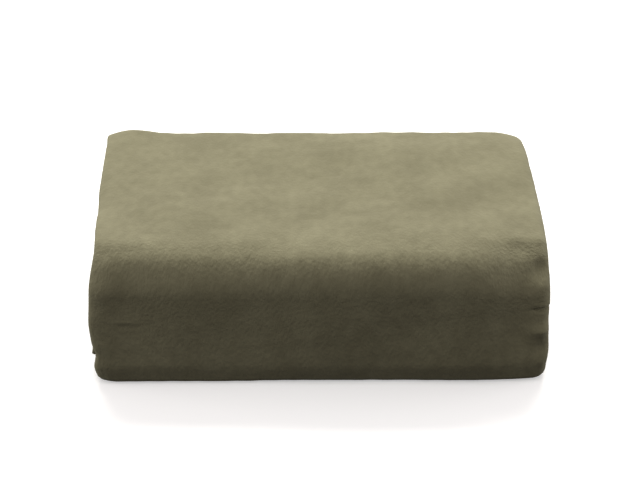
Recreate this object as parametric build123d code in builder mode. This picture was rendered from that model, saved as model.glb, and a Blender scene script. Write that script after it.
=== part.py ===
"""Wool camp blanket, folded for carrying.

One woven sheet is folded in four across its width into a four-ply strip. The strip is
zigzagged inwards from both ends into two packs of four panels, and the packs are closed
on each other like a book, so a single run of the strip, the spine, stands across the front.

Frame: origin on the resting surface under the middle of the blanket, +X along the spine,
+Y from the spine to the rear folds, +Z up. Millimetres.
"""

from build123d import *

import os
from math import pi

# The sheet
BLANKET_WIDTH = 1500
BLANKET_LENGTH = 2000
CLOTH = 3.4  # thickness of one ply of milled, napped wool under its own weight
LAP = 0.1  # space between plies that lie on each other

# How it is folded
STRIP_PLIES = 4
PACK_PANELS = 4
SPINE_CLEARANCE = 0.4  # between the spine and everything that swings past it
FRONT_FOLD_SETBACK = 1.0  # from the spine's inner face to the nose of the fold behind it
FREE_END_SETBACK = 8.0  # from the spine's inner face to the sheet's short end
STITCH_DEPTH = 4.0  # length of cloth that the edge stitching wraps
SELVEDGE_INSETS = (2.5, 1.0)  # inner and outer selvedge, from the strip's left end

# The four-ply strip
PITCH = CLOTH + LAP
STRIP_WIDTH = BLANKET_WIDTH / STRIP_PLIES
STRIP = STRIP_PLIES * PITCH - LAP
STRIP_PITCH = STRIP + LAP
HALF_WIDTH = STRIP_WIDTH / 2

# Ply centre heights, from the strip's outer face inwards, and the radii of the cloth's
# middle in the folds at the strip's ends. The two middle plies share the small right-hand
# fold and the two outer ones wrap round them.
PLY_HEIGHTS = [CLOTH / 2 + ply * PITCH for ply in range(STRIP_PLIES)]
SMALL_FOLD = PITCH / 2
LARGE_FOLD = (STRIP_PLIES - 1) * PITCH / 2
RIGHT_FOLD_X = HALF_WIDTH - LARGE_FOLD - CLOTH / 2
LEFT_FOLD_X = -HALF_WIDTH + SMALL_FOLD + CLOTH / 2

# The stack
HALF_HEIGHT = PACK_PANELS * STRIP_PITCH - LAP / 2
HEIGHT = 2 * HALF_HEIGHT
LENGTHWISE_FOLD = STRIP_PITCH / 2  # mid-cloth radius where the strip doubles back
FOLD_REACH = LAP / 2 + STRIP

# Depth: half of the sheet runs from mid-spine to one short end, through half of the spine,
# four panels and three lengthwise folds.
SPINE_HINGE = STRIP / 2
PANEL_START = STRIP + SPINE_CLEARANCE
FRONT_FOLD_AT = STRIP + FRONT_FOLD_SETBACK + FOLD_REACH
FREE_END_AT = STRIP + FREE_END_SETBACK
HALF_SPINE_RUN = HALF_HEIGHT - SPINE_HINGE
FOLD_RUN = (PACK_PANELS - 1) * pi * LENGTHWISE_FOLD
PANEL_RUN = BLANKET_LENGTH / 2 - HALF_SPINE_RUN - FOLD_RUN
PANEL_STARTS = SPINE_HINGE + 2 * FRONT_FOLD_AT + FREE_END_AT
REAR_FOLD_AT = (PANEL_RUN + PANEL_STARTS) / PACK_PANELS
DEPTH = REAR_FOLD_AT + FOLD_REACH
FRONT = -DEPTH / 2

UP = 1
DOWN = -1
HALF_TURN = 180


def strip_centre_line():
    """The cloth's middle in a cut across the strip: a zigzag from selvedge to selvedge."""
    outer, second, third, inner = PLY_HEIGHTS
    inner_selvedge, outer_selvedge = [inset - HALF_WIDTH for inset in SELVEDGE_INSETS]
    middle = (outer + inner) / 2
    with BuildLine(mode=Mode.PRIVATE) as line:
        Line((inner_selvedge, third), (RIGHT_FOLD_X, third))
        ThreePointArc(
            (RIGHT_FOLD_X, third), (RIGHT_FOLD_X + SMALL_FOLD, middle), (RIGHT_FOLD_X, second)
        )
        Line((RIGHT_FOLD_X, second), (LEFT_FOLD_X, second))
        ThreePointArc(
            (LEFT_FOLD_X, second),
            (LEFT_FOLD_X - SMALL_FOLD, (outer + second) / 2),
            (LEFT_FOLD_X, outer),
        )
        Line((LEFT_FOLD_X, outer), (RIGHT_FOLD_X, outer))
        ThreePointArc(
            (RIGHT_FOLD_X, outer), (RIGHT_FOLD_X + LARGE_FOLD, middle), (RIGHT_FOLD_X, inner)
        )
        Line((RIGHT_FOLD_X, inner), (outer_selvedge, inner))
    return line.edges()


def strip_plane(y, outer_z, inwards):
    """A cut across the strip at y from the front, with its outer face at outer_z."""
    return Plane(origin=(0, FRONT + y, outer_z), x_dir=(1, 0, 0), z_dir=(0, -inwards, 0))


def strip_run(name, start, end, outer_z, inwards):
    """A straight run of the strip, from start to end behind the front face."""
    with BuildPart() as run:
        with BuildSketch(strip_plane(start, outer_z, inwards)):
            trace(strip_centre_line(), CLOTH)
        extrude(amount=-inwards * (end - start))
    save(name, run)


def lengthwise_fold(name, axis_z, at_rear):
    """A half turn of the strip about a line across the blanket.

    The strip's outer face is on the outside of the turns at the rear, and on the inside of
    those at the front.
    """
    if at_rear:
        y, gap, inwards, turn = REAR_FOLD_AT, FOLD_REACH, UP, HALF_TURN
    else:
        y, gap, inwards, turn = FRONT_FOLD_AT, LAP / 2, DOWN, -HALF_TURN
    with BuildPart() as fold:
        with BuildSketch(strip_plane(y, axis_z - gap, inwards)):
            trace(strip_centre_line(), CLOTH)
        revolve(axis=Axis((0, FRONT + y, axis_z), (1, 0, 0)), revolution_arc=turn)
    save(name, fold)


def save(name, builder):
    """Label a finished piece and write it."""
    builder.part.label = name
    export_step(builder.part, f"parts/{name}.step")


os.makedirs("parts", exist_ok=True)

for half in ("lower", "upper"):
    # Heights are measured from the half's own outer face, which is the blanket's underside
    # for the lower pack and its top for the upper one.
    base, way = (0, UP) if half == "lower" else (HEIGHT, DOWN)
    for panel in range(1, PACK_PANELS + 1):
        near = base + way * (panel - 1) * STRIP_PITCH
        outer_first = panel % 2 == 1
        outer_z = near if outer_first else near + way * STRIP
        inwards = way if outer_first else -way
        start = PANEL_START if panel == 1 else FRONT_FOLD_AT
        if panel == PACK_PANELS:
            start = FREE_END_AT + STITCH_DEPTH
            strip_run(f"{half}_end_stitching", FREE_END_AT, start, outer_z, inwards)
        strip_run(f"{half}_panel_{panel}", start, REAR_FOLD_AT, outer_z, inwards)
    for fold, name in enumerate(("rear_fold_1", "front_fold", "rear_fold_2"), start=1):
        axis_z = base + way * (fold * STRIP_PITCH - LAP / 2)
        lengthwise_fold(f"{half}_{name}", axis_z, at_rear=name != "front_fold")

# The spine stands on edge across the front. Its two ends are round about the hinge lines, so
# it rolls down flat without cutting into the panels that it leads to.
with BuildPart() as spine:
    with BuildSketch(Plane(origin=(0, FRONT, 0), x_dir=(1, 0, 0), z_dir=(0, 0, 1))):
        trace(strip_centre_line(), CLOTH)
    extrude(amount=HEIGHT)
    with BuildSketch(Plane.YZ.offset(-HALF_WIDTH)):
        with Locations((FRONT + SPINE_HINGE, HALF_HEIGHT)):
            SlotOverall(HEIGHT, STRIP, rotation=90)
    extrude(amount=STRIP_WIDTH, mode=Mode.INTERSECT)
save("spine", spine)
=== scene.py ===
"""Looks of the folded wool camp blanket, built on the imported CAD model.

The blanket is one woven sheet. It is folded in four across its width into a strip, and the
strip is zigzagged into two packs and closed like a book. Each piece here is a run of that
strip: the cloth's zigzag cut across the strip, swept along the strip's folded path, then
given the loft, sag and uneven folds of real wool. Lengths are metres.
"""

import math

import bpy
import numpy as np
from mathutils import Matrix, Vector


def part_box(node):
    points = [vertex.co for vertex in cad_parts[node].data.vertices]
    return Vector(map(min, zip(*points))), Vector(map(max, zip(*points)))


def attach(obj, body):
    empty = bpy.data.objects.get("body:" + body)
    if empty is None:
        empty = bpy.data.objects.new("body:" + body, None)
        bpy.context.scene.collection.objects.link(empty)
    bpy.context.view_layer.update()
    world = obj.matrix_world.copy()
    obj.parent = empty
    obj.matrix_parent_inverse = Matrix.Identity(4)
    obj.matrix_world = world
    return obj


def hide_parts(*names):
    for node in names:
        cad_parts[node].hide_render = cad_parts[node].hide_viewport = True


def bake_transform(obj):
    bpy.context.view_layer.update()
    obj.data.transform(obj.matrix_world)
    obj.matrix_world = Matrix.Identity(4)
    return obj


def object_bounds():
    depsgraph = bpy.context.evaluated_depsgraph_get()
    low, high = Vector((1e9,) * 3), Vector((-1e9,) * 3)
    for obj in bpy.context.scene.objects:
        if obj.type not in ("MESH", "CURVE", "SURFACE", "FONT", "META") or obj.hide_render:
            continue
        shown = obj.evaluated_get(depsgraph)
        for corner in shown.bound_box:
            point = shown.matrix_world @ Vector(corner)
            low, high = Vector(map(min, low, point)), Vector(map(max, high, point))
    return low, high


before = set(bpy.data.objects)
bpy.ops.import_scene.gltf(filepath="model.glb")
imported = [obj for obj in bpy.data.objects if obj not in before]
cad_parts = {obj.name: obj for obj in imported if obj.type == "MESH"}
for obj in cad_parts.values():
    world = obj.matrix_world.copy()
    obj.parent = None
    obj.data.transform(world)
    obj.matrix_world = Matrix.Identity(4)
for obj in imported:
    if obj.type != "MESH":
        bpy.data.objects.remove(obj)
cad_low, cad_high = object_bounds()

MM = 0.001
TINY = 1e-9  # keeps a division safe

# --------------------------------------------------------------------------------------
# Sizes, read from the frame


def size_of(node):
    """The size of a CAD node's box."""
    low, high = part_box(node)
    return high - low


SPINE_LOW, SPINE_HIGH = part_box("spine")
STRIP = size_of("lower_panel_1").z
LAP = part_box("lower_panel_2")[0].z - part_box("lower_panel_1")[1].z
PLIES = 4
PANELS = 4
CLOTH = (STRIP - (PLIES - 1) * LAP) / PLIES
PLY_PITCH = CLOTH + LAP
PANEL_PITCH = STRIP + LAP
HEIGHT = SPINE_HIGH.z
HALF_HEIGHT = HEIGHT / 2
HALF_WIDTH = SPINE_HIGH.x
FRONT = SPINE_LOW.y
DEPTH = cad_high.y - FRONT
FOLD_REACH = STRIP + LAP / 2
REAR_FOLD_AT = DEPTH - FOLD_REACH
FRONT_FOLD_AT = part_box("lower_front_fold")[1].y - FRONT
FREE_END_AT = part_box("lower_end_stitching")[0].y - FRONT
STITCH_DEPTH = size_of("lower_end_stitching").y

# How the cloth bends round the blanket's long front edges, measured on its outer face
LOWER_EDGE_RADIUS = 6 * MM
UPPER_EDGE_RADIUS = 26 * MM
TIGHTEST_BEND = 0.6 * MM

# Mesh spacing: across the outer face, up the spine, along the outer panels and out of sight
FINE_STEP = 2.6 * MM
SPINE_STEP = 1.6 * MM
SEEN_STEP = 3.4 * MM
HIDDEN_STEP = 8 * MM
FREE_PANEL_STEP = 0.8 * HIDDEN_STEP
HALF_TURN_STEPS = 16
QUARTER_TURN_STEPS = 12
SEAM_STEPS = 2
HEM_STEPS = 6

# Points in the half turns at the strip's ends
HIDDEN_TURN_POINTS = 6
LEFT_TURN_POINTS = 8
RIGHT_TURN_POINTS = 14
SELVEDGE_ANGLES = np.radians([45, 90, 135])

# --------------------------------------------------------------------------------------
# Smooth noise and steps, and the tangents of a line

PITCH_SPREAD = (0.6, 1.4)  # of the waves that make up a ripple, about its own pitch


def ripples(points, wavelength, seed, waves=14):
    """Smooth random values of about unit size, from plane waves in random directions."""
    points = np.asarray(points, float)
    if points.ndim == 1:
        points = points[:, None]
    rng = np.random.RandomState(seed)
    directions = rng.normal(size=(waves, points.shape[1]))
    directions /= np.linalg.norm(directions, axis=1, keepdims=True)
    pitch = 2 * math.pi / wavelength * rng.uniform(*PITCH_SPREAD, waves)
    phases = rng.uniform(0, 2 * math.pi, waves)
    total = np.zeros(len(points))
    for direction, rate, phase in zip(directions, pitch, phases):
        total += np.cos(points @ direction * rate + phase)
    return total * math.sqrt(2 / waves)


def layered(points, layers):
    """Adds up ripples of several kinds, each given as (height, wavelength, seed)."""
    return sum(height * ripples(points, length, seed) for height, length, seed in layers)


def smoothstep(low, high, value):
    """Grows smoothly from 0 at low to 1 at high, which may be the smaller of the two."""
    t = np.clip((value - low) / (high - low), 0, 1)
    return t * t * (3 - 2 * t)


def bump(value, centre, width):
    """A smooth hump of height 1 about a centre."""
    return np.exp(-(((value - centre) / width) ** 2))


def unit_tangents(points):
    """Unit tangents along a line of points."""
    tangents = np.gradient(points, axis=0)
    return tangents / np.linalg.norm(tangents, axis=1, keepdims=True)


# --------------------------------------------------------------------------------------
# The cut across the strip


def spaced(start, end, step):
    """Points from start up to, but not including, end, at about the given step."""
    count = max(2, round(abs(end - start) / step))
    return np.linspace(start, end, count, endpoint=False)


def strip_profile():
    """The cloth's middle in a cut across the strip, from the inner selvedge to the outer one.

    Returns points as (x, depth below the strip's outer face) and the distance along them.
    """
    outer, second, third, inner = [CLOTH / 2 + ply * PLY_PITCH for ply in range(PLIES)]
    middle = (outer + inner) / 2
    small, large = PLY_PITCH / 2, (PLIES - 1) / 2 * PLY_PITCH
    right = HALF_WIDTH - large - CLOTH / 2
    left = -HALF_WIDTH + small + CLOTH / 2
    selvedge = -HALF_WIDTH + CLOTH / 2

    def run(start, end, depth, step):
        xs = spaced(start, end, step)
        return np.column_stack([xs, np.full(len(xs), depth)])

    def turn(x, depth, radius, sign, first, count):
        """A half turn; sign is +1 at the right-hand end and -1 at the left, and first is +1
        where the turn starts on its deeper side."""
        angles = np.linspace(0, math.pi, count, endpoint=False)
        return np.column_stack(
            [x + sign * radius * np.sin(angles), depth + first * radius * np.cos(angles)]
        )

    parts = [
        run(selvedge, right, third, HIDDEN_STEP),
        turn(right, middle, small, 1, 1, HIDDEN_TURN_POINTS),
        run(right, left, second, HIDDEN_STEP),
        turn(left, (outer + second) / 2, small, -1, 1, LEFT_TURN_POINTS),
        run(left, right, outer, FINE_STEP),
        turn(right, middle, large, 1, -1, RIGHT_TURN_POINTS),
        run(right, selvedge, inner, HIDDEN_STEP),
        np.array([[selvedge, inner]]),
    ]
    points = np.vstack(parts)
    steps = np.linalg.norm(np.diff(points, axis=0), axis=1)
    return points, np.concatenate([[0], np.cumsum(steps)])


PROFILE, ACROSS = strip_profile()


def ribbon_ring():
    """The outline of the cut: both faces of the cloth and its two round selvedges.

    Returns for each point the profile point it belongs to and its offset direction, whose
    length is 1 on the cloth's faces.
    """
    tangents = unit_tangents(PROFILE)
    normals = np.column_stack([-tangents[:, 1], tangents[:, 0]])
    last = len(PROFILE) - 1
    owners = list(range(last + 1))
    offsets = list(normals)
    for angle in SELVEDGE_ANGLES:
        owners.append(last)
        offsets.append(normals[last] * math.cos(angle) + tangents[last] * math.sin(angle))
    owners += list(range(last, -1, -1))
    offsets += list(-normals[::-1])
    for angle in SELVEDGE_ANGLES:
        owners.append(0)
        offsets.append(-normals[0] * math.cos(angle) - tangents[0] * math.sin(angle))
    return np.array(owners), np.array(offsets)


RING_OWNER, RING_OFFSET = ribbon_ring()

# --------------------------------------------------------------------------------------
# The path along the strip. A station places a point, given by its depth below the strip's
# outer face, as (distance behind the front face, distance from the half's outer face).


def bend_centre(radius, depth):
    """Where a ply's bend round a front edge is centred: inner plies turn as tightly as they can."""
    return np.maximum(radius, depth + TIGHTEST_BEND)


def spine_station(share, radius):
    """On the spine, at a share of the way from mid-spine to the front edge."""

    def place(depth):
        bend = bend_centre(radius, depth)
        return depth, HALF_HEIGHT + (bend - HALF_HEIGHT) * share

    return place


def edge_station(angle, radius):
    """On the front edge, at an angle from the spine."""

    def place(depth):
        bend = bend_centre(radius, depth)
        reach = bend - depth
        return bend - reach * math.cos(angle), bend - reach * math.sin(angle)

    return place


def outer_panel_station(share, radius):
    """On the outer panel, at a share of the way from the front edge to the rear fold."""

    def place(depth):
        bend = bend_centre(radius, depth)
        return bend + (REAR_FOLD_AT - bend) * share, depth

    return place


def panel_station(y, panel):
    """Panels face out and in by turns, so the outer face is near on odd ones."""
    near = (panel - 1) * PANEL_PITCH

    def place(depth):
        return np.full_like(depth, y), near + (depth if panel % 2 else STRIP - depth)

    return place


def rear_fold_station(angle, after_panel):
    """On the half turn behind a panel, at an angle from that panel."""
    axis = after_panel * PANEL_PITCH - LAP / 2

    def place(depth):
        reach = FOLD_REACH - depth
        return REAR_FOLD_AT + reach * math.sin(angle), axis - reach * math.cos(angle)

    return place


def front_fold_station(angle, after_panel):
    """On the half turn in front of a panel, at an angle from that panel."""
    axis = after_panel * PANEL_PITCH - LAP / 2

    def place(depth):
        reach = LAP / 2 + depth
        return FRONT_FOLD_AT - reach * math.sin(angle), axis - reach * math.cos(angle)

    return place


SEAM_AT = REAR_FOLD_AT - 6 * MM  # where the outer run of a half meets its inner run
HALF_TURN = np.linspace(0, math.pi, HALF_TURN_STEPS + 1)
QUARTER_TURN = np.linspace(0, math.pi / 2, QUARTER_TURN_STEPS + 1)


def outer_run(radius):
    """From mid-spine round the front edge, along the outer panel and round the rear fold."""
    straight = HALF_HEIGHT - radius
    shares = spaced(0, 1, SPINE_STEP / straight)
    stations = [spine_station(share, radius) for share in shares]
    stations += [edge_station(angle, radius) for angle in QUARTER_TURN[:-1]]
    shares = spaced(0, 1, SEEN_STEP / (REAR_FOLD_AT - radius))
    stations += [outer_panel_station(share, radius) for share in shares]
    stations += [rear_fold_station(angle, 1) for angle in HALF_TURN]
    rear_to_seam = np.linspace(REAR_FOLD_AT, SEAM_AT, SEAM_STEPS + 1)[1:]
    stations += [panel_station(y, 2) for y in rear_to_seam]
    return stations


def inner_run():
    """The three inner panels and the two folds between them, as far as the free end."""
    stations = [panel_station(y, 2) for y in spaced(SEAM_AT, FRONT_FOLD_AT, HIDDEN_STEP)]
    stations += [front_fold_station(angle, 2) for angle in HALF_TURN[:-1]]
    stations += [panel_station(y, 3) for y in spaced(FRONT_FOLD_AT, REAR_FOLD_AT, HIDDEN_STEP)]
    stations += [rear_fold_station(angle, 3) for angle in HALF_TURN[:-1]]
    hem = FREE_END_AT + STITCH_DEPTH
    last_panel = spaced(REAR_FOLD_AT, hem, FREE_PANEL_STEP)
    stations += [panel_station(y, PANELS) for y in last_panel]
    stations += [panel_station(y, PANELS) for y in np.linspace(hem, FREE_END_AT, HEM_STEPS + 1)]
    return stations


# --------------------------------------------------------------------------------------
# What real cloth does to the ideal folds. Heights are from the floor and depths from the
# front. A side is a place across the blanket as a share of the half width: 0 is the middle,
# 1 the right-hand end and -1 the left-hand end. A span is the pair of places between which
# an effect grows from nothing to its full size.

# How far the strip's ends stray sideways, in layers of ripples along it
RIGHT_STRAY = [(1.5 * MM, 0.42, 41), (0.3 * MM, 0.09, 42)]
LEFT_STRAY = [(1.5 * MM, 0.36, 43), (0.3 * MM, 0.08, 44)]


def end_shift(x, along):
    """How far the strip strays sideways, at a distance along it from mid-spine."""
    right = layered(along, RIGHT_STRAY) * smoothstep(0.0, 1.0, x / HALF_WIDTH)
    left = layered(along, LEFT_STRAY) * smoothstep(0.0, 1.0, -x / HALF_WIDTH)
    return right + left


# Loft, as shares of the stack's height
LOFT = [(0.009, 0.17, 11), (0.004, 0.06, 12)]
REAR_DEPTHS = (DEPTH - 60 * MM, DEPTH)
FRONT_DEPTHS = (50 * MM, 0)
END_SINK = 0.020
SINKING_SIDES = (0.86, 1.0)
MID_DEPTH_SINK = 0.2  # as a share of the sink at the corners
REAR_SINK = 0.016
REAR_HUMPS = [(-178 * MM, 32 * MM, 0.040), (50 * MM, 60 * MM, -0.022)]  # x, reach and rise


def loft_of(x, y, side, rear):
    """How much thicker the stack is: it varies, and it sinks at its corners and at the rear."""
    front = smoothstep(*FRONT_DEPTHS, y)
    loft = layered(np.column_stack([x, y]), LOFT)
    loft -= END_SINK * smoothstep(*SINKING_SIDES, side) * (rear + front + MID_DEPTH_SINK)
    loft -= REAR_SINK * rear
    for middle, reach, rise in REAR_HUMPS:
        loft += rise * bump(x, middle, reach) * rear
    return loft


# The slump of the long upper edge: how far down it goes everywhere, over the left half, and
# at each end, how far back it reaches, and how it starts where the edge is soft or crisp
SLUMP = 1.4 * MM
LEFT_HALF_SLUMP = 4.8 * MM
LEFT_HALF_SIDES = (0.0, 0.42)
LEFT_END_SLUMP = 4.5 * MM
RIGHT_END_SLUMP = 14.5 * MM
SLUMPING_SIDES = (0.58, 0.88)
SLUMP_REACH = 46 * MM
MORE_REACH_LEFT = 4 * MM
MORE_REACH_RIGHT = 6 * MM
SLUMPING_HEIGHTS = (0.48 * HEIGHT, 0.97 * HEIGHT)
CRISP_SIDES = (0.70, 0.90)
SOFT_ONSET, CRISP_ONSET = 0.42, 0.22
SOFT_BOW, CRISP_BOW = 0.25, 0.60
SHEDDING_SHARE = 0.86  # of the reach, over which the slump grows to its full size


def worn_corner(depth, onset, bow):
    """How much of the slump is reached at a depth from 0, the front, to 1. A short onset and a
    great bow make it start abruptly."""
    share = np.clip((1 - depth) / SHEDDING_SHARE, 0, 1)
    share = np.where(share < onset, share**2 / (2 * onset), share - onset / 2)
    return share * (1 + bow - bow * share)


def slump_of(x, y, z, side):
    """How far the long upper edge slumps: more towards its two ends, and most at the right."""
    towards_end = smoothstep(*SLUMPING_SIDES, side)
    slump = np.where(x > 0, RIGHT_END_SLUMP, LEFT_END_SLUMP) * towards_end
    slump += SLUMP + LEFT_HALF_SLUMP * smoothstep(*LEFT_HALF_SIDES, -x / HALF_WIDTH)
    reach = SLUMP_REACH + np.where(x > 0, MORE_REACH_RIGHT, MORE_REACH_LEFT) * towards_end
    crisp = smoothstep(*CRISP_SIDES, x / HALF_WIDTH)
    onset = SOFT_ONSET + (CRISP_ONSET - SOFT_ONSET) * crisp
    bow = SOFT_BOW + (CRISP_BOW - SOFT_BOW) * crisp
    return slump * worn_corner(y / reach, onset, bow) * smoothstep(*SLUMPING_HEIGHTS, z)


# Creases and dents that folding left in the front: middle (x from the nearer end, height),
# reach along each, and how far the face moves out.
RIGHT_MARKS = [
    (-2 * MM, 65.5 * MM, 11 * MM, 1.8 * MM, -6.5 * MM),
    (5 * MM, 47 * MM, 10 * MM, 5 * MM, 3.6 * MM),
    (7 * MM, 31 * MM, 8 * MM, 7 * MM, -3.0 * MM),
    (8 * MM, 95 * MM, 8 * MM, 6 * MM, -7.0 * MM),
    (9 * MM, 83 * MM, 9 * MM, 6 * MM, 1.2 * MM),
]
LEFT_MARKS = [(8 * MM, 73 * MM, 10 * MM, 9 * MM, -0.9 * MM)]

# Lips, where a pinch of cloth overhangs a thin dark line: the same numbers, with the reach
# only upwards from the line.
RIGHT_LIPS = [(0 * MM, 66.5 * MM, 10 * MM, 8 * MM, 3.0 * MM)]
LEFT_LIPS = [(32 * MM, 57.5 * MM, 12 * MM, 7 * MM, 0.8 * MM)]
LIP_EDGE = 0.8 * MM


def fold_marks(x, z):
    """How far the front face moves out at its creases, dents and lips."""
    total = np.zeros_like(x)
    right, left = HALF_WIDTH - x, HALF_WIDTH + x
    for inward, marks, lips in ((right, RIGHT_MARKS, RIGHT_LIPS), (left, LEFT_MARKS, LEFT_LIPS)):
        for across, height, reach_x, reach_z, out in marks:
            total += out * bump(inward, across, reach_x) * bump(z, height, reach_z)
        for across, height, reach_x, reach_z, out in lips:
            above = smoothstep(height - LIP_EDGE, height + LIP_EDGE, z)
            total += out * bump(inward, across, reach_x) * bump(z, height, reach_z) * above
    return total


# How far the front's upper part stands back: everywhere, and in steps towards each end, each
# given as the sides where it starts and ends, and how far back it goes
DRAWN_BACK = 2.0 * MM
LEFT_STEPS = [(0.02, 0.32, 4.5 * MM), (0.62, 0.88, 4.0 * MM)]
RIGHT_STEPS = [(0.68, 0.90, 11.0 * MM)]
DRAWN_HEIGHTS = (-16 * MM, 92 * MM)


def drawn_back(across):
    """How far the front's upper part stands back, at a side."""
    total = np.full_like(across, DRAWN_BACK)
    for side, steps in ((-across, LEFT_STEPS), (across, RIGHT_STEPS)):
        for start, end, back in steps:
            total += back * smoothstep(start, end, side)
    return total


# The front's swelling between its edges, how it stands in at the floor, and how it stands out
# and then in again low down towards the right-hand end
SWELL = 2.0 * MM
FRONT_RIPPLES = [(0.6 * MM, 0.11, 13)]
FOOT_IN = 3.8 * MM
FOOT_HEIGHTS = (21 * MM, 0)
RIGHT_FOOT_OUT = 3.0 * MM
RIGHT_FOOT_OUT_SIDES = (0.1, 0.9)
RIGHT_FOOT_OUT_HEIGHTS = (60 * MM, 10 * MM)
RIGHT_FOOT_IN = 2.0 * MM
RIGHT_FOOT_IN_SIDES = (0.84, 1.0)
RIGHT_FOOT_IN_HEIGHTS = (30 * MM, 0)

# How the ends roll off: over what width, how far back at the front, and how far down on top
LEFT_ROLL, RIGHT_ROLL = 16 * MM, 14 * MM
LEFT_ROLL_BACK, RIGHT_ROLL_BACK = 4.5 * MM, 2.5 * MM
LEFT_ROLL_DOWN = 1.6 * MM


def rolled_off(inward, width):
    """How far rolling off has gone, from 0 to 1, at a distance in from an end."""
    return np.clip(1 - inward / width, 0, 1) ** 2


def swell_of(x, z):
    """How far the front face moves out."""
    across = x / HALF_WIDTH
    swell = SWELL * np.sin(np.clip(z / HEIGHT, 0, 1) * math.pi)
    swell += layered(np.column_stack([x, z]), FRONT_RIPPLES) + fold_marks(x, z)
    swell -= FOOT_IN * smoothstep(*FOOT_HEIGHTS, z)
    foot_out = smoothstep(*RIGHT_FOOT_OUT_SIDES, across) * smoothstep(*RIGHT_FOOT_OUT_HEIGHTS, z)
    foot_in = smoothstep(*RIGHT_FOOT_IN_SIDES, across) * smoothstep(*RIGHT_FOOT_IN_HEIGHTS, z)
    swell += RIGHT_FOOT_OUT * foot_out - RIGHT_FOOT_IN * foot_in
    swell -= LEFT_ROLL_BACK * rolled_off(HALF_WIDTH + x, LEFT_ROLL)
    swell -= RIGHT_ROLL_BACK * rolled_off(HALF_WIDTH - x, RIGHT_ROLL)
    swell -= drawn_back(across) * smoothstep(*DRAWN_HEIGHTS, z)
    return swell


# The shape of the two ends from the floor up: the radius on which each rolls under, how far
# each leans in or stands out over a span of heights, and humps and hollows, each given as its
# height, its reach and how far it stands out
LEFT_UNDERCUT, RIGHT_UNDERCUT = 6 * MM, 9 * MM
LEFT_FOOT_LEAN = 1.6 * MM
LEFT_FOOT_HEIGHTS = (40 * MM, 8 * MM)
LEFT_TOP_LEAN = 2.2 * MM
LEFT_TOP_HEIGHTS = (84 * MM, 0.95 * HEIGHT)
LEFT_TOP_DEPTHS = (150 * MM, 15 * MM)
RIGHT_OUT = 0.9 * MM
RIGHT_OUT_HEIGHTS = (96 * MM, 74 * MM)
LEFT_HUMPS = [
    (54 * MM, 26 * MM, 3.8 * MM),
    (13 * MM, 8 * MM, 2.2 * MM),
    (27 * MM, 6 * MM, -1.2 * MM),
]
RIGHT_HUMPS = [(30 * MM, 10 * MM, 1.2 * MM), (94 * MM, 16 * MM, 1.4 * MM)]

# Bulges in the ends' upper part: the left one's rear, and at a depth, with its reach
UPPER_HEIGHTS = (70 * MM, HEIGHT)
LEFT_REAR_BULGE = 1.6 * MM
LEFT_BULGE_AT, LEFT_BULGE_REACH, LEFT_BULGE = 170 * MM, 32 * MM, 1.8 * MM
RIGHT_BULGE_AT, RIGHT_BULGE_REACH, RIGHT_BULGE = 135 * MM, 40 * MM, 1.0 * MM


def round_under(z, radius):
    """How far a quarter circle of this radius, touching the floor, stands in from its side."""
    rise = 1 - np.clip(z / radius, 0, 1)
    return radius * (1 - np.sqrt(1 - rise**2))


def end_lean(x, y, z, rear):
    """How far to the right the points near an end move: inwards at the left-hand end and
    outwards at the right-hand one where it's positive."""
    left = LEFT_FOOT_LEAN * smoothstep(*LEFT_FOOT_HEIGHTS, z) + round_under(z, LEFT_UNDERCUT)
    right = round_under(z, RIGHT_UNDERCUT) - RIGHT_OUT * smoothstep(*RIGHT_OUT_HEIGHTS, z)
    for height, reach, out in LEFT_HUMPS:
        left -= out * bump(z, height, reach)
    for height, reach, out in RIGHT_HUMPS:
        right -= out * bump(z, height, reach)
    near = smoothstep(*LEFT_TOP_DEPTHS, y)
    left += LEFT_TOP_LEAN * smoothstep(*LEFT_TOP_HEIGHTS, z) * near
    upper = smoothstep(*UPPER_HEIGHTS, z)
    left_bulge = LEFT_REAR_BULGE * rear + LEFT_BULGE * bump(y, LEFT_BULGE_AT, LEFT_BULGE_REACH)
    left -= upper * left_bulge
    right -= upper * RIGHT_BULGE * bump(y, RIGHT_BULGE_AT, RIGHT_BULGE_REACH)
    return np.where(x > 0, -right, left)


# Where the ends lean, where they roll off on top, and how deep the front's swelling goes
LEANING_SIDES = (0.6, 1.0)
TOP_HALF = (0.5 * HEIGHT, HEIGHT)
SWELLING_DEPTHS = (60 * MM, 0)

# The uneven rear folds: their tips' ripples, which are stretched along the fold, and how far
# they stop short at the corners
REAR_TIPS = [(1.7 * MM, 0.045, 14)]
TIPS_STRETCH = 0.35
REAR_CORNER_IN = 5 * MM
REAR_CORNER_SIDES = (0.88, 1.0)

# Small crimps all over, which fade out at the floor, where the cloth rests
CRIMPS_X = [(0.10 * MM, 0.020, 15)]
CRIMPS_Y = [(0.12 * MM, 0.018, 16)]
CRIMPS_Z = [(0.12 * MM, 0.017, 17)]
CRIMPED_HEIGHTS = (0, 6 * MM)
FLOOR_GAP = 0.05 * MM


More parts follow.
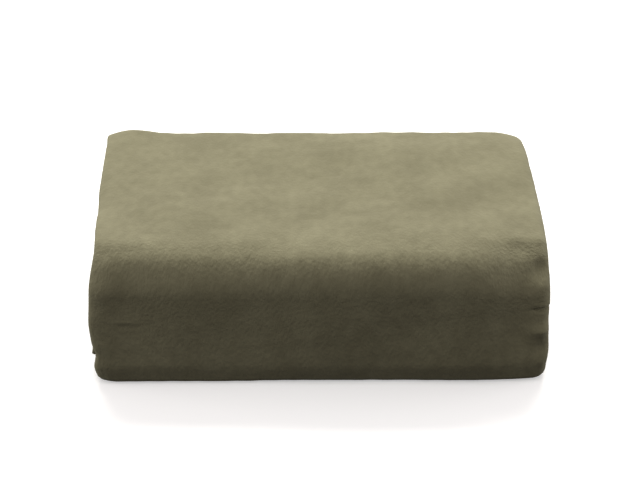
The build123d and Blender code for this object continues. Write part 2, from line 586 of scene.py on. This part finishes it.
def settle(points):
    """Moves points of the whole stack, in (x, distance from front, height), as real cloth lies."""
    x, y, z = points.T.copy()
    side = np.abs(x) / HALF_WIDTH
    rear = smoothstep(*REAR_DEPTHS, y)

    # Height: loft, the slump of the upper edge, and the left-hand end rolling off
    z = z * (1 + loft_of(x, y, side, rear))
    z = z - slump_of(x, y, z, side)
    roll = rolled_off(HALF_WIDTH + x, LEFT_ROLL)
    z = z - LEFT_ROLL_DOWN * roll * smoothstep(*TOP_HALF, z) * (1 - rear)

    # Depth: the front face, then the rear folds
    y = y - swell_of(x, z) * smoothstep(*SWELLING_DEPTHS, y)
    tips = layered(np.column_stack([x * TIPS_STRETCH, z]), REAR_TIPS)
    y = y + (tips - REAR_CORNER_IN * smoothstep(*REAR_CORNER_SIDES, side) ** 2) * rear

    # Sideways: the two ends
    x = x + end_lean(x, y, z, rear) * smoothstep(*LEANING_SIDES, side)

    place = np.column_stack([x, y, z])
    x = x + layered(place, CRIMPS_X)
    y = y + layered(place, CRIMPS_Y)
    z = z + layered(place, CRIMPS_Z) * smoothstep(*CRIMPED_HEIGHTS, z)
    return np.column_stack([x, y, np.maximum(z, FLOOR_GAP)])


# --------------------------------------------------------------------------------------
# Building a run of the strip as a mesh

# How the cloth thins towards its free end, over distances from that end: under the stitches
# to a share of its thickness, and at its rounded edge to a share of that
STITCHED_SHARE = 0.5
STITCHED_SPAN = (9 * MM, 2 * MM)
EDGE_SHARE = 0.3
EDGE_RADIUS = 1 * MM


def add_object(name, data):
    """Adds an object to the scene."""
    made = bpy.data.objects.new(name, data)
    bpy.context.scene.collection.objects.link(made)
    return made


def run_length(stations):
    """The distance to each station along the middle of the strip."""
    middle = np.array([STRIP / 2])
    places = np.array([np.concatenate(station(middle)) for station in stations])
    steps = np.linalg.norm(np.diff(places, axis=0), axis=1)
    return np.concatenate([[0], np.cumsum(steps)])


def in_place(x, depth, station, along, half):
    """Puts points of the ideal strip into the ideal stack."""
    y, height = station(depth)
    if half == "upper":
        height = HEIGHT - height
    else:
        along = -along
    x = x + end_shift(x, np.full(len(x), along))
    return np.column_stack([x, np.broadcast_to(y, x.shape), height])


def settled(points):
    """Points of the ideal stack as they lie in the real one, in the row frame."""
    points = settle(points)
    points[:, 1] += FRONT
    return points


def cloth_ring(station, along, half, thickness):
    """The outline of the cut across the strip, placed at a station."""
    cut = PROFILE[RING_OWNER] + RING_OFFSET * thickness / 2
    return in_place(cut[:, 0], cut[:, 1], station, along, half)


def hem_thickness(to_end):
    """Cloth near the free end is squeezed by its stitches and rounded at its edge."""
    squeezed = 1 - (1 - STITCHED_SHARE) * smoothstep(*STITCHED_SPAN, to_end)
    rounded = math.sqrt(1 - max(0.0, 1 - to_end / EDGE_RADIUS) ** 2)
    return CLOTH * squeezed * max(rounded, EDGE_SHARE)


def grid_normals(grid):
    """Unit normals of a grid of rings."""
    round_ring = np.roll(grid, -1, axis=1) - np.roll(grid, 1, axis=1)
    normals = np.cross(round_ring, np.gradient(grid, axis=0))
    return normals / np.linalg.norm(normals, axis=2, keepdims=True)


def wall_faces(rings, count):
    """Quads between neighbouring rings, which have this count of points each."""
    ring = np.arange(count)
    after = np.roll(ring, -1)
    one_wall = np.column_stack([ring, after, after + count, ring + count])
    return (one_wall + np.arange(rings - 1)[:, None, None] * count).reshape(-1, 4).tolist()


def cap_faces(first, flip):
    """Faces that close the ribbon at a ring: quads from face to face, and its two selvedges.

    first is the ring's first vertex, and flip turns the faces the other way.
    """
    last = len(PROFILE) - 1
    round_points = len(SELVEDGE_ANGLES)
    second_face = first + last + 1 + round_points
    facing = [second_face + last - i for i in range(last + 1)]
    caps = [(first + i, first + i + 1, facing[i + 1], facing[i]) for i in range(last)]
    caps.append(tuple(range(first + last, second_face + 1)))
    caps.append((*range(facing[0], first + len(RING_OWNER)), first))
    return caps if flip else [cap[::-1] for cap in caps]


def build_run(name, stations, half, along_from, hem=False, before=None):
    """A closed mesh of the strip through these stations. Returns the piece and its length.

    along_from is the distance from mid-spine to the first station, hem thins the cloth at the
    last one, and before is the station on the far side of a seam that has to look unbroken.
    """
    distances = run_length(stations)
    length, count = distances[-1], len(RING_OWNER)
    thickness = [hem_thickness(length - at) if hem else CLOTH for at in distances]
    alongs = along_from + distances
    rings = [cloth_ring(*ring) for ring in zip(stations, alongs, [half] * len(alongs), thickness)]
    if before:
        rings.insert(0, cloth_ring(before, alongs[0] - distances[1], half, CLOTH))
    vertices = settled(np.vstack(rings))
    normals = grid_normals(vertices.reshape(-1, count, 3)).reshape(-1, 3)
    if before:
        vertices, normals = vertices[count:], normals[count:]

    walls = wall_faces(len(stations), count)
    caps = cap_faces(0, flip=True) + cap_faces(count * (len(stations) - 1), flip=False)
    faces = walls + caps
    if half == "upper":
        faces = [face[::-1] for face in faces]
        normals = -normals

    mesh = bpy.data.meshes.new(name)
    mesh.from_pydata(vertices.tolist(), [], faces)
    mesh.polygons.foreach_set("use_smooth", [True] * len(walls) + [False] * len(caps))
    corners = np.empty(len(mesh.loops), int)
    mesh.loops.foreach_get("vertex_index", corners)
    from_middle = alongs if half == "upper" else -alongs
    cloth = np.column_stack(
        [np.tile(ACROSS[RING_OWNER], len(stations)), np.repeat(from_middle, count)]
    )
    mesh.uv_layers.new(name="cloth").data.foreach_set("uv", cloth[corners].ravel())
    on_walls = np.arange(len(corners)) < 4 * len(walls)
    mesh.normals_split_custom_set(np.where(on_walls[:, None], normals[corners], 0).tolist())
    mesh.update()
    return add_object(name, mesh), length


# --------------------------------------------------------------------------------------
# Whip stitching over the sheet's short ends

YARN_RADIUS = 0.42 * MM
YARN_SIDES = 6
STITCH_PITCH = 4.6 * MM
STITCH_POINTS = 12
STITCH_SQUARENESS = 0.55  # 1 winds the yarn on an ellipse, and less on a squarer path
STITCH_UNEVENNESS = 0.10  # share by which stitches differ in depth
UNEVEN_STRETCH = 5 * STITCH_PITCH
STITCH_SEED = 81


def stitch_line():
    """One yarn that winds over the cloth's edge from selvedge to selvedge.

    Returns points as (distance across the sheet, distance in from the edge, distance from
    the cloth's middle).
    """
    turns = int((ACROSS[-1] - STITCH_PITCH) / STITCH_PITCH)
    turn = np.arange(turns * STITCH_POINTS) / STITCH_POINTS
    angle = 2 * math.pi * turn
    uneven = ripples(np.floor(turn + 0.5) * STITCH_PITCH, UNEVEN_STRETCH, STITCH_SEED)
    reach = STITCH_DEPTH * (1.0 + STITCH_UNEVENNESS * uneven)
    swing = np.sign(np.cos(angle)) * np.abs(np.cos(angle)) ** STITCH_SQUARENESS
    lift = np.sign(np.sin(angle)) * np.abs(np.sin(angle)) ** STITCH_SQUARENESS
    inwards = reach / 2 - (reach / 2 + YARN_RADIUS) * swing
    over = CLOTH * STITCHED_SHARE / 2 + YARN_RADIUS
    return np.column_stack([STITCH_PITCH * (turn + 0.5), inwards, over * lift])


def tube(points, radius, sides):
    """A round tube along points, as vertices and faces."""
    along = unit_tangents(points)
    aside = np.cross(along, [0.0, 1.0, 0.0])
    aside /= np.maximum(np.linalg.norm(aside, axis=1, keepdims=True), TINY)
    above = np.cross(aside, along)
    angles = 2 * math.pi * np.arange(sides) / sides
    rings = points[:, None] + radius * (
        aside[:, None] * np.cos(angles)[:, None] + above[:, None] * np.sin(angles)[:, None]
    )
    ring = np.arange(sides)
    faces = wall_faces(len(points), sides)
    faces += [tuple(ring[::-1]), tuple(ring + (len(points) - 1) * sides)]
    return rings.reshape(-1, 3), faces


def build_stitching(name, half, along):
    """The yarn over the free end of a half."""
    across, inwards, off = stitch_line().T
    tangents = unit_tangents(PROFILE)
    middle = [np.interp(across, ACROSS, PROFILE[:, axis]) for axis in (0, 1)]
    tangent = [np.interp(across, ACROSS, tangents[:, axis]) for axis in (0, 1)]
    x = middle[0] - tangent[1] * off
    depth = middle[1] + tangent[0] * off
    placed = in_place(x, depth, panel_station(FREE_END_AT, PANELS), along, half)
    placed[:, 1] += inwards
    vertices, faces = tube(settled(placed), YARN_RADIUS, YARN_SIDES)
    mesh = bpy.data.meshes.new(name)
    mesh.from_pydata(vertices.tolist(), [], faces)
    mesh.polygons.foreach_set("use_smooth", [True] * len(faces))
    mesh.materials.append(YARN)
    return add_object(name, mesh)


# --------------------------------------------------------------------------------------
# Materials


def node(tree, kind, **inputs):
    """Adds a shader node; inputs are socket names with spaces written as underscores."""
    made = tree.nodes.new(kind)
    for key, value in inputs.items():
        made.inputs[key.replace("_", " ")].default_value = value
    return made


NAP_LENGTHENED = 1.5  # along the cloth

# Layers of noise, each given as (scale, detail, roughness, weight)
COLOUR_LAYERS = [
    (26, 1, 0.5, 0.46),  # patches
    (150, 0, 0.5, 0.26),  # clumps
    (420, 3, 0.6, 0.10),  # heather
]
NAP_LAYERS = [
    (110, 1, 0.5, 0.22),  # waves
    (400, 2, 0.5, 0.66),  # tufts
    (900, 1, 0.6, 0.08),  # curls
]
DARK_AT, LIGHT_AT = 0.32, 0.68  # sums of the colour layers that give the two end colours
NAP_DEPTH = 2.1 * MM
NAP_STRENGTH = 0.6

# The nap stands up round the front of the blanket and lies flatter beyond it
STANDING_WITHIN = 60 * MM  # of mid-spine
FLAT_BEYOND = 115 * MM
FLAT_SHARE = 0.5

FINISH = {
    "Roughness": 0.95,
    "Specular IOR Level": 0.15,
    "Sheen Weight": 0.22,
    "Sheen Roughness": 0.6,
    "Sheen Tint": (0.80, 0.78, 0.62, 1),
}


def wool_material(name, dark, light, coordinates):
    """Milled wool: heathered colour, a short nap brushed along the cloth and a soft sheen."""
    material = bpy.data.materials.new(name)
    material.use_nodes = True
    tree = material.node_tree
    shader = tree.nodes["Principled BSDF"]
    link = tree.links.new
    where = tree.nodes.new("ShaderNodeTexCoord")
    brushed = node(tree, "ShaderNodeMapping", Scale=(1.0, 1.0 / NAP_LENGTHENED, 1.0))
    link(where.outputs[coordinates], brushed.inputs["Vector"])

    def math_node(operation, *values):
        """A maths node; a value is a number or the socket it comes from."""
        made = tree.nodes.new("ShaderNodeMath")
        made.operation = operation
        for socket, value in zip(made.inputs, values):
            if isinstance(value, (int, float)):
                socket.default_value = value
            else:
                link(value, socket)
        return made.outputs[0]

    def layered_noise(layers):
        """Adds up the layers, each times its weight."""
        total = 0.0
        for scale, detail, roughness, weight in layers:
            noise = node(
                tree, "ShaderNodeTexNoise", Scale=scale, Detail=detail, Roughness=roughness
            )
            link(brushed.outputs["Vector"], noise.inputs["Vector"])
            total = math_node("MULTIPLY_ADD", noise.outputs["Fac"], weight, total)
        return total

    def standing_share():
        """How far the nap stands up at a place along the cloth."""
        split = tree.nodes.new("ShaderNodeSeparateXYZ")
        link(where.outputs[coordinates], split.inputs["Vector"])
        standing = node(
            tree,
            "ShaderNodeMapRange",
            From_Min=STANDING_WITHIN,
            From_Max=FLAT_BEYOND,
            To_Min=1.0,
            To_Max=FLAT_SHARE,
        )
        standing.interpolation_type = "SMOOTHSTEP"
        link(math_node("ABSOLUTE", split.outputs["Y"]), standing.inputs["Value"])
        return standing.outputs["Result"]

    ramp = tree.nodes.new("ShaderNodeValToRGB")
    ends = ramp.color_ramp.elements
    ends[0].position, ends[0].color = DARK_AT, (*dark, 1)
    ends[1].position, ends[1].color = LIGHT_AT, (*light, 1)
    link(layered_noise(COLOUR_LAYERS), ramp.inputs["Fac"])
    link(ramp.outputs["Color"], shader.inputs["Base Color"])

    relief = math_node("MULTIPLY", layered_noise(NAP_LAYERS), standing_share())
    raised = node(tree, "ShaderNodeBump", Strength=NAP_STRENGTH, Distance=NAP_DEPTH)
    link(relief, raised.inputs["Height"])
    link(raised.outputs["Normal"], shader.inputs["Normal"])

    for socket, value in FINISH.items():
        shader.inputs[socket].default_value = value
    return material


WOOL = wool_material("olive_wool", (0.149, 0.139, 0.081), (0.203, 0.192, 0.116), "UV")
YARN = wool_material("edge_yarn", (0.105, 0.098, 0.056), (0.149, 0.139, 0.081), "Object")

# --------------------------------------------------------------------------------------
# The pieces


def declare_cloth(piece):
    """Gives a run of cloth its material."""
    piece.data.materials.append(WOOL)


def build_half(half, radius):
    """One pack of four panels with its half of the spine."""
    lower = half == "lower"
    straight = HALF_HEIGHT - radius
    beyond = spine_station(-1 / round(straight / SPINE_STEP), radius)
    outer, outer_length = build_run(f"{half}_wrap", outer_run(radius), half, 0.0, before=beyond)
    inner, inner_length = build_run(f"{half}_pack", inner_run(), half, outer_length, hem=True)
    yarn = build_stitching(f"{half}_edge_yarn", half, outer_length + inner_length)

    declare_cloth(outer)
    declare_cloth(inner)

    if lower:
        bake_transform(outer)
    else:
        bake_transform(outer)
    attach(inner, f"{half}_half")
    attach(yarn, f"{half}_half")
    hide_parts(f"{half}_panel_1", f"{half}_rear_fold_1", "spine")
    inner_nodes = ("panel_2", "front_fold", "panel_3", "rear_fold_2", "panel_4")
    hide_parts(*[f"{half}_{part}" for part in inner_nodes])
    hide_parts(f"{half}_end_stitching")


# --------------------------------------------------------------------------------------
# Studio

FLOOR_REACH = 6.0
FLOOR_COLOUR = (0.86, 0.86, 0.85)
FLOOR_GLOW = 0.42
BACKDROP_RADIUS = 5.8
BACKDROP_TOP = 8.0
BACKDROP_SIDES = 48
SKY_COLOUR = (1.0, 0.95, 0.97, 1)
SIDE_COLOUR = (1.0, 0.98, 0.96)


def plain_paint(name, colour, glow_colour, glow):
    """A matt paint that also glows."""
    paint = bpy.data.materials.new(name)
    paint.use_nodes = True
    shader = paint.node_tree.nodes["Principled BSDF"]
    shader.inputs["Base Color"].default_value = (*colour, 1)
    shader.inputs["Roughness"].default_value = 1.0
    shader.inputs["Specular IOR Level"].default_value = 0.0
    shader.inputs["Emission Color"].default_value = (*glow_colour, 1)
    shader.inputs["Emission Strength"].default_value = glow
    return paint


def build_floor():
    """A pale floor with a faint glow. It throws no light back up at the blanket."""
    mesh = bpy.data.meshes.new("floor")
    corners = [(-1, -1), (1, -1), (1, 1), (-1, 1)]
    vertices = [(FLOOR_REACH * x, FLOOR_REACH * y, 0) for x, y in corners]
    mesh.from_pydata(vertices, [], [(0, 1, 2, 3)])
    mesh.materials.append(plain_paint("floor_paint", FLOOR_COLOUR, (0.95, 0.95, 0.94), FLOOR_GLOW))
    floor = add_object("floor", mesh)
    floor.visible_diffuse = False
    floor.visible_glossy = False


def build_backdrop():
    """A pale round wall that is seen beyond the floor and neither lights nor shades anything."""
    sides = BACKDROP_SIDES
    angles = 2 * math.pi * np.arange(sides) / sides
    ring = [(BACKDROP_RADIUS * math.cos(a), BACKDROP_RADIUS * math.sin(a)) for a in angles]
    vertices = [(x, y, z) for z in (0, BACKDROP_TOP) for x, y in ring]
    faces = [(k, (k + 1) % sides, sides + (k + 1) % sides, sides + k) for k in range(sides)]
    mesh = bpy.data.meshes.new("backdrop")
    mesh.from_pydata(vertices, [], faces)
    mesh.materials.append(plain_paint("backdrop_paint", (0, 0, 0), (0.93, 0.93, 0.92), 1.0))
    wall = add_object("backdrop", mesh)
    for ray in ("diffuse", "glossy", "transmission", "volume_scatter", "shadow"):
        setattr(wall, f"visible_{ray}", False)


def build_sky():
    """A dim even sky, darker below the horizon where the floor would be."""
    world = bpy.data.worlds.new("studio")
    bpy.context.scene.world = world
    world.use_nodes = True
    tree = world.node_tree
    where = tree.nodes.new("ShaderNodeTexCoord")
    split = tree.nodes.new("ShaderNodeSeparateXYZ")
    ramp = node(
        tree, "ShaderNodeMapRange", From_Min=-0.08, From_Max=0.15, To_Min=0.0, To_Max=0.56
    )
    tree.links.new(where.outputs["Generated"], split.inputs["Vector"])
    tree.links.new(split.outputs["Z"], ramp.inputs["Value"])
    tree.links.new(ramp.outputs["Result"], tree.nodes["Background"].inputs["Strength"])
    tree.nodes["Background"].inputs["Color"].default_value = SKY_COLOUR


def add_softbox(name, place, width, depth, power, colour):
    """A rectangular lamp that points at the blanket's place on the floor."""
    lamp = bpy.data.lights.new(name, "AREA")
    lamp.shape = "RECTANGLE"
    lamp.size, lamp.size_y = width, depth
    lamp.energy = power
    lamp.color = colour
    box = add_object(name, lamp)
    box.location = place
    box.rotation_euler = (-Vector(place)).to_track_quat("-Z", "Y").to_euler()


def build_softboxes():
    """A broad key overhead and behind, a narrow one above the front that rakes down it, and a
    weak one at each side that only the rounded ends catch."""
    add_softbox(
        "overhead", (0, 1.7, 1.9), width=2.2, depth=1.1, power=87, colour=(1.0, 0.985, 0.92)
    )
    add_softbox(
        "left_side", (-1.9, 0.12, 0.30), width=1.0, depth=0.5, power=13, colour=SIDE_COLOUR
    )
    add_softbox(
        "right_side", (1.9, 0.50, 0.30), width=0.8, depth=0.5, power=10, colour=SIDE_COLOUR
    )
    add_softbox(
        "rake", (-0.1, -0.62, 2.3), width=1.2, depth=0.25, power=5.5, colour=(1.0, 0.95, 0.93)
    )


def build_camera():
    """Looks down at the blanket's front and top."""
    azimuth, elevation = -1.04, 29.9
    distance, lens = 1.662, 111.5
    target = Vector((0.6 * MM, FRONT + 74.6 * MM, 96.1 * MM))
    a, e = math.radians(azimuth), math.radians(elevation)
    back = Vector((math.sin(a) * math.cos(e), -math.cos(a) * math.cos(e), math.sin(e)))
    camera = add_object("camera", bpy.data.cameras.new("camera"))
    camera.data.lens = lens
    camera.location = target + back * distance
    camera.rotation_euler = (-back).to_track_quat("-Z", "Y").to_euler()
    bpy.context.scene.camera = camera


bpy.context.scene.view_settings.view_transform = "Standard"
build_floor()
build_backdrop()
build_sky()
build_softboxes()
build_camera()
build_half("lower", LOWER_EDGE_RADIUS)
build_half("upper", UPPER_EDGE_RADIUS)
